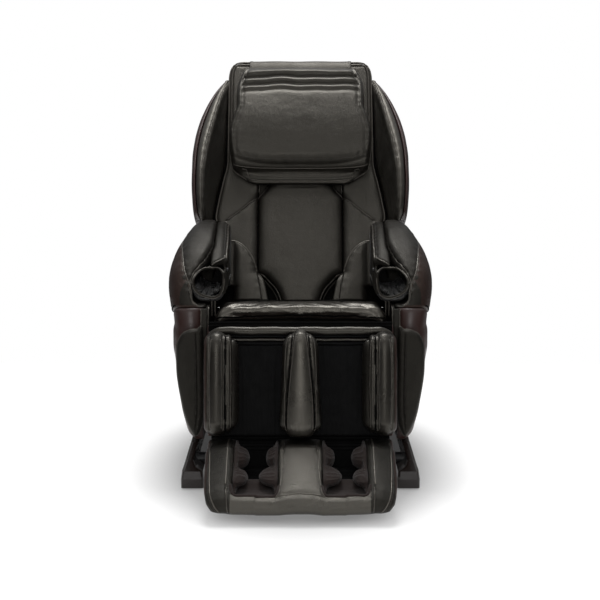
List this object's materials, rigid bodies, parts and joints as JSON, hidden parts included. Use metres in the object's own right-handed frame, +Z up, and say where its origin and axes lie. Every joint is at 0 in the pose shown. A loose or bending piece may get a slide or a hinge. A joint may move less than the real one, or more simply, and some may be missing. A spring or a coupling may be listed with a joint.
{
  "type": "massage chair",
  "caption": "Full-body massage chair: reclining back with side wings and head pillow, arm tunnels, roller carriage, lifting leg rest and sliding foot box on a skid base.",
  "frame": {"origin": "on the floor, under the middle of the bounding box", "axes": "+Z up, -Y the way the sitter faces, +X the sitter's left"},
  "size_m": [0.756, 1.2494, 1.1775],
  "materials": {
    "leather": "near-black semi-gloss synthetic leather",
    "gathered": "dark brown gathered cloth over air cushions",
    "lining": "black stretch cloth",
    "brown_shell": "dark brown gloss plastic",
    "base_gloss": "dark brown high-gloss plastic",
    "black_plastic": "black plastic",
    "dark_steel": "black powder coat",
    "bright_steel": "ground steel",
    "rubber": "black rubber",
    "roller": "tan moulded plastic"
  },
  "bodies": {
    "base": {"base_frame": "dark_steel", "left_base_cover": "base_gloss", "right_base_cover": "base_gloss", "left_foot_strip": "rubber", "right_foot_strip": "rubber", "control_box": "black_plastic", "power_inlet": "black_plastic"},
    "left_wheel": {"left_transport_wheel": "rubber"},
    "right_wheel": {"right_transport_wheel": "rubber"},
    "rocker": {"power_switch": "black_plastic"},
    "seat": {"seat_frame": "dark_steel", "recline_pin": "bright_steel", "legrest_pin": "bright_steel", "seat_cushion": "leather", "seat_front_roll": "leather", "left_side_shell": "brown_shell", "right_side_shell": "brown_shell", "left_arm_cushion": "leather", "right_arm_cushion": "leather", "left_arm_flap": "leather", "right_arm_flap": "leather", "left_arm_cup": "lining", "right_arm_cup": "lining", "left_inner_panel": "leather", "right_inner_panel": "leather", "left_front_fin": "leather", "right_front_fin": "leather", "air_pump": "black_plastic", "recline_actuator": "black_plastic"},
    "recline_link": {"recline_rod": "bright_steel"},
    "back": {"back_frame": "dark_steel", "back_center_pad": "leather", "left_back_bolster": "leather", "right_back_bolster": "leather", "rear_cover": "brown_shell", "left_wing_pad": "leather", "right_wing_pad": "leather", "left_wing_shell": "brown_shell", "right_wing_shell": "brown_shell"},
    "screw": {"lead_screw": "bright_steel"},
    "carriage": {"massage_carriage": "black_plastic"},
    "left_kneader": {"left_massage_arm": "bright_steel"},
    "right_kneader": {"right_massage_arm": "bright_steel"},
    "left_upper_wheel": {"left_upper_roller": "roller"},
    "right_upper_wheel": {"right_upper_roller": "roller"},
    "left_lower_wheel": {"left_lower_roller": "roller"},
    "right_lower_wheel": {"right_lower_roller": "roller"},
    "pillow": {"head_pillow": "leather"},
    "legrest": {"calf_shell": "brown_shell", "calf_lining": "lining", "left_calf_pad": "leather", "right_calf_pad": "leather", "center_calf_pad": "leather", "foot_gaiter": "lining"},
    "footrest": {"foot_tray": "dark_steel", "foot_upholstery": "leather", "left_foot_airbag": "gathered", "right_foot_airbag": "gathered"},
    "left_foot_knob": {"foot_roller_left": "roller"},
    "right_foot_knob": {"foot_roller_right": "roller"}
  },
  "joints": [
    {"name": "seat_tilt", "type": "hinge", "parent": "base", "child": "seat", "pos_m": [0, 0.09777, 0.3], "axis": [-1, 0, 0], "range_deg": [0, 15]},
    {"name": "recline", "type": "hinge", "parent": "seat", "child": "back", "pos_m": [0, 0.20277, 0.415], "axis": [-1, 0, 0], "range_deg": [0, 40]},
    {"name": "recline_rod_slide", "type": "slide", "parent": "seat", "child": "recline_link", "axis": [0, -1, 0], "range_m": [0, 0.05]},
    {"name": "legrest_lift", "type": "hinge", "parent": "seat", "child": "legrest", "pos_m": [0, -0.28223, 0.42], "axis": [-1, 0, 0], "range_deg": [0, 80]},
    {"name": "footrest_slide", "type": "slide", "parent": "legrest", "child": "footrest", "axis": [0, -0.1761, -0.9844], "range_m": [0, 0.12]},
    {"name": "carriage_travel", "type": "slide", "parent": "back", "child": "carriage", "axis": [0, 0.454, 0.891], "range_m": [0, 0.4]},
    {"name": "screw_spin", "type": "hinge", "parent": "back", "child": "screw", "pos_m": [0, 0.3701, 0.60973], "axis": [0, 0.454, 0.891], "range_deg": [-10, 4900]},
    {"name": "left_knead", "type": "hinge", "parent": "carriage", "child": "left_kneader", "pos_m": [0.07, 0.34426, 0.6229], "axis": [0, 0.454, 0.891], "range_deg": [-10, 10]},
    {"name": "right_knead", "type": "hinge", "parent": "carriage", "child": "right_kneader", "pos_m": [-0.07, 0.34426, 0.6229], "axis": [0, 0.454, 0.891], "range_deg": [-10, 10]},
    {"name": "left_upper_roll", "type": "hinge", "parent": "left_kneader", "child": "left_upper_wheel", "pos_m": [0.05, 0.34922, 0.68771], "axis": [1, 0, 0], "continuous": true},
    {"name": "left_lower_roll", "type": "hinge", "parent": "left_kneader", "child": "left_lower_wheel", "pos_m": [0.05, 0.29474, 0.58079], "axis": [1, 0, 0], "continuous": true},
    {"name": "right_upper_roll", "type": "hinge", "parent": "right_kneader", "child": "right_upper_wheel", "pos_m": [-0.05, 0.34922, 0.68771], "axis": [1, 0, 0], "continuous": true},
    {"name": "right_lower_roll", "type": "hinge", "parent": "right_kneader", "child": "right_lower_wheel", "pos_m": [-0.05, 0.29474, 0.58079], "axis": [1, 0, 0], "continuous": true},
    {"name": "pillow_flip", "type": "hinge", "parent": "back", "child": "pillow", "pos_m": [0, 0.48708, 1.17414], "axis": [-1, 0, 0], "range_deg": [0, 165]},
    {"name": "left_foot_roll", "type": "hinge", "parent": "footrest", "child": "left_foot_knob", "pos_m": [0.117, -0.48723, 0.057], "axis": [1, 0, 0], "continuous": true},
    {"name": "left_wheel_spin", "type": "hinge", "parent": "base", "child": "left_wheel", "pos_m": [0.246, 0.49777, 0.036], "axis": [1, 0, 0], "continuous": true},
    {"name": "right_foot_roll", "type": "hinge", "parent": "footrest", "child": "right_foot_knob", "pos_m": [-0.117, -0.48723, 0.057], "axis": [1, 0, 0], "continuous": true},
    {"name": "right_wheel_spin", "type": "hinge", "parent": "base", "child": "right_wheel", "pos_m": [-0.246, 0.49777, 0.036], "axis": [1, 0, 0], "continuous": true},
    {"name": "power_rocker", "type": "hinge", "parent": "base", "child": "rocker", "pos_m": [0.028, 0.43477, 0.125], "axis": [1, 0, 0], "range_deg": [0, 16]}
  ],
  "couplings": [
    {"joint": "recline_rod_slide", "follows": "recline", "m_per_rad": 0.066},
    {"joint": "footrest_slide", "follows": "legrest_lift", "m_per_rad": 0.081},
    {"joint": "screw_spin", "follows": "carriage_travel", "rad_per_m": 209.44},
    {"joint": "right_knead", "follows": "left_knead", "ratio": -1}
  ]
}
